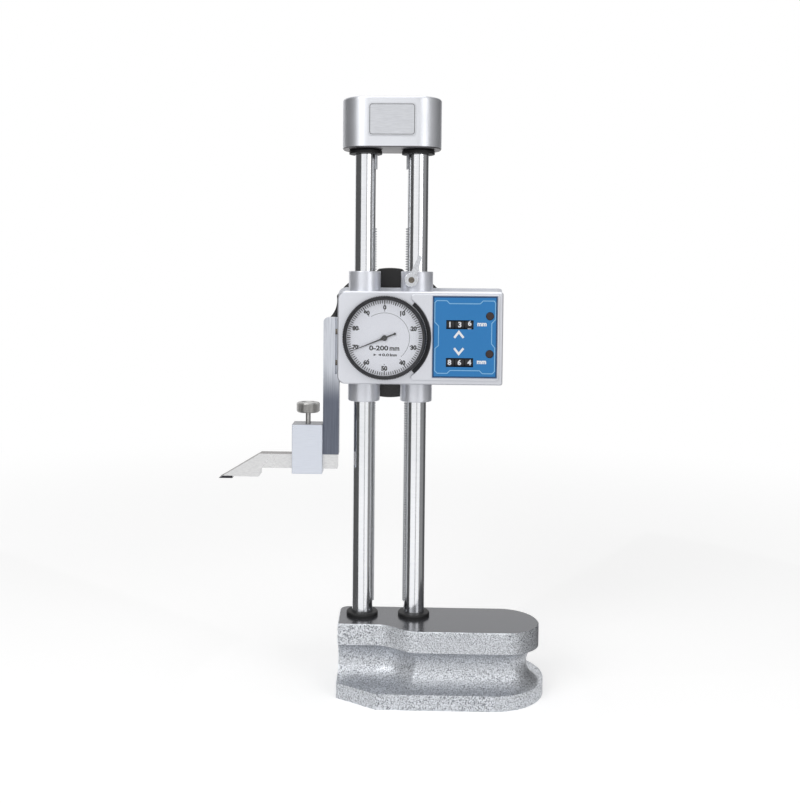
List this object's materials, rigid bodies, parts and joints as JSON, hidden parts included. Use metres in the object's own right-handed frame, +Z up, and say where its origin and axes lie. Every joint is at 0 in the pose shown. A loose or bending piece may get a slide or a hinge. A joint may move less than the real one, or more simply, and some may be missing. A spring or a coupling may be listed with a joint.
{
  "type": "height gauge",
  "caption": "Twin-column height gauge with a dial, a feed wheel, two number counters, a column clamp and a clamped scriber on a cast base.",
  "frame": {"origin": "underside of the base, midway between the two column axes", "axes": "+Z up along the columns; -Y towards the reader of the dial; the scriber points towards -X"},
  "size_m": [0.2109, 0.0744, 0.3795],
  "materials": {
    "cast_base": "silver hammered paint over the casting, satin",
    "column_steel": "hard chrome, ground",
    "rack_steel": "machined",
    "collar_rubber": "black moulded rubber",
    "cap_paint": "fine silver paint",
    "label_plate": "satin",
    "screw_steel": "blackened or bright screw steel",
    "slider_paint": "fine silver paint",
    "cover_paint": "fine silver paint",
    "bronze": "bearing bronze",
    "blue_plate": "printed aluminium plate",
    "black_paint": "black, satin",
    "brass_parts": "turned",
    "frame_steel": "plated sheet",
    "arm_steel": "ground",
    "clamp_steel": "ground, bright",
    "bezel_black": "black anodised, knurled",
    "dial_paint": "printed dial",
    "crystal": "clear",
    "pointer_black": "black",
    "gear_steel": "hobbed",
    "drum_black": "black with white digits",
    "button_plastic": "dark brown",
    "spring_steel": "spring wire",
    "handwheel_black": "black moulding",
    "lever_chrome": "bright plating",
    "scriber_steel": "ground",
    "carbide": "tungsten carbide",
    "thumb_steel": "knurled"
  },
  "bodies": {
    "stand": {"base": "cast_base", "column_left": "column_steel", "column_right": "column_steel", "feed_rack": "rack_steel", "dial_rack": "rack_steel", "travel_stops": "rack_steel", "base_collars": "collar_rubber", "cap_collars": "collar_rubber", "top_cap": "cap_paint", "cap_plate": "label_plate", "column_screws": "screw_steel", "cap_screws": "screw_steel"},
    "slider": {"slider_body": "slider_paint", "column_bushes": "bronze", "front_plate": "slider_paint", "counter_cover": "slider_paint", "counter_plate": "blue_plate", "rear_cover": "cover_paint", "feed_bush": "bronze", "case_screws": "screw_steel", "dial_case": "black_paint", "gear_bridge": "brass_parts", "counter_frame": "frame_steel", "clamp_pad": "brass_parts", "scriber_arm": "arm_steel", "arm_screws": "screw_steel", "scriber_clamp": "clamp_steel"},
    "bezel": {"bezel": "bezel_black", "dial_face": "dial_paint", "crystal": "crystal"},
    "pointer": {"pointer": "pointer_black", "pointer_arbor": "gear_steel"},
    "rack_pinion": {"rack_pinion": "gear_steel", "first_gear": "brass_parts"},
    "intermediate": {"intermediate_pinion": "gear_steel", "second_gear": "brass_parts"},
    "counter_drive": {"counter_drive_shaft": "gear_steel"},
    "lower_units": {"lower_counter_shaft": "gear_steel", "lower_units_drum": "drum_black"},
    "lower_tens": {"lower_tens_drum": "drum_black"},
    "lower_hundreds": {"lower_hundreds_drum": "drum_black"},
    "upper_units": {"upper_counter_shaft": "gear_steel", "upper_units_drum": "drum_black"},
    "upper_tens": {"upper_tens_drum": "drum_black"},
    "upper_hundreds": {"upper_hundreds_drum": "drum_black"},
    "idler": {"idler_wheel": "gear_steel"},
    "lower_reset": {"lower_reset_button": "button_plastic", "lower_reset_spring": "spring_steel"},
    "upper_reset": {"upper_reset_button": "button_plastic", "upper_reset_spring": "spring_steel"},
    "feed_wheel": {"handwheel": "handwheel_black", "feed_pinion": "gear_steel", "handwheel_screw": "screw_steel"},
    "clamp": {"clamp_lever": "lever_chrome", "clamp_screw": "screw_steel"},
    "scriber": {"scriber": "scriber_steel", "scriber_tip": "carbide"},
    "thumb_screw": {"thumb_screw": "thumb_steel"}
  },
  "joints": [
    {"name": "slider_travel", "type": "slide", "parent": "stand", "child": "slider", "axis": [0, 0, 1], "range_m": [-0.13669, 0.06331]},
    {"name": "handwheel_turn", "type": "hinge", "parent": "slider", "child": "feed_wheel", "pos_m": [-0.00053, 0, 0.22989], "axis": [0, 1, 0], "range_deg": [-396.39, 855.24]},
    {"name": "rack_pinion_turn", "type": "hinge", "parent": "slider", "child": "rack_pinion", "pos_m": [0.00588, 0, 0.21719], "axis": [0, 1, 0], "range_deg": [-2051.88, 950.62]},
    {"name": "intermediate_turn", "type": "hinge", "parent": "slider", "child": "intermediate", "pos_m": [0.0134, 0, 0.23017], "axis": [0, 1, 0], "range_deg": [-3801, 8206]},
    {"name": "pointer_turn", "type": "hinge", "parent": "slider", "child": "pointer", "pos_m": [-0.0034, 0, 0.22999], "axis": [0, 1, 0], "range_deg": [-49233.5, 22803.5]},
    {"name": "counter_drive_turn", "type": "hinge", "parent": "slider", "child": "counter_drive", "pos_m": [0.02275, 0, 0.21509], "axis": [0, 1, 0], "range_deg": [-2280.8, 4923.8]},
    {"name": "lower_units_turn", "type": "hinge", "parent": "slider", "child": "lower_units", "pos_m": [0.04, -0.017, 0.21509], "axis": [1, 0, 0], "range_deg": [-2280.8, 4923.8]},
    {"name": "lower_tens_turn", "type": "hinge", "parent": "slider", "child": "lower_tens", "pos_m": [0.04, -0.017, 0.21509], "axis": [1, 0, 0], "range_deg": [-228.53, 492.83]},
    {"name": "lower_hundreds_turn", "type": "hinge", "parent": "slider", "child": "lower_hundreds", "pos_m": [0.04, -0.017, 0.21509], "axis": [1, 0, 0], "range_deg": [-23.3, 49.73]},
    {"name": "idler_turn", "type": "hinge", "parent": "slider", "child": "idler", "pos_m": [0.04, -0.017, 0.22676], "axis": [1, 0, 0], "range_deg": [-4923.8, 2280.8]},
    {"name": "upper_units_turn", "type": "hinge", "parent": "slider", "child": "upper_units", "pos_m": [0.04, -0.017, 0.23844], "axis": [1, 0, 0], "range_deg": [-2280.8, 4923.8]},
    {"name": "upper_tens_turn", "type": "hinge", "parent": "slider", "child": "upper_tens", "pos_m": [0.04, -0.017, 0.23844], "axis": [1, 0, 0], "range_deg": [-228.53, 492.83]},
    {"name": "upper_hundreds_turn", "type": "hinge", "parent": "slider", "child": "upper_hundreds", "pos_m": [0.04, -0.017, 0.23844], "axis": [1, 0, 0], "range_deg": [-23.3, 49.73]},
    {"name": "bezel_turn", "type": "hinge", "parent": "slider", "child": "bezel", "pos_m": [-0.0034, 0, 0.22999], "axis": [0, 1, 0], "continuous": true},
    {"name": "clamp_lever_turn", "type": "hinge", "parent": "slider", "child": "clamp", "pos_m": [0.013, 0, 0.26559], "axis": [0, 1, 0], "range_deg": [-65, 45]},
    {"name": "thumb_screw_turn", "type": "hinge", "parent": "slider", "child": "thumb_screw", "pos_m": [-0.0527, 0, 0.17259], "axis": [0, 0, 1], "range_deg": [0, 720]},
    {"name": "scriber_shift", "type": "slide", "parent": "slider", "child": "scriber", "axis": [-1, 0, 0], "range_m": [0, 0.015]},
    {"name": "upper_reset_press", "type": "slide", "parent": "slider", "child": "upper_reset", "axis": [0, 1, 0], "range_m": [0, 0.0012], "stiffness_N_per_m": 400},
    {"name": "lower_reset_press", "type": "slide", "parent": "slider", "child": "lower_reset", "axis": [0, 1, 0], "range_m": [0, 0.0012], "stiffness_N_per_m": 400}
  ],
  "couplings": [
    {"joint": "handwheel_turn", "follows": "slider_travel", "rad_per_m": -109.08},
    {"joint": "rack_pinion_turn", "follows": "slider_travel", "rad_per_m": 261.8},
    {"joint": "intermediate_turn", "follows": "slider_travel", "rad_per_m": -1047.2},
    {"joint": "pointer_turn", "follows": "slider_travel", "rad_per_m": 6283.2},
    {"joint": "counter_drive_turn", "follows": "slider_travel", "rad_per_m": -628.32},
    {"joint": "lower_units_turn", "follows": "slider_travel", "rad_per_m": -628.32},
    {"joint": "lower_tens_turn", "follows": "slider_travel", "rad_per_m": -62.832},
    {"joint": "lower_hundreds_turn", "follows": "slider_travel", "rad_per_m": -6.2832},
    {"joint": "idler_turn", "follows": "slider_travel", "rad_per_m": 628.32},
    {"joint": "upper_units_turn", "follows": "slider_travel", "rad_per_m": -628.32},
    {"joint": "upper_tens_turn", "follows": "slider_travel", "rad_per_m": -62.832},
    {"joint": "upper_hundreds_turn", "follows": "slider_travel", "rad_per_m": -6.2832}
  ]
}
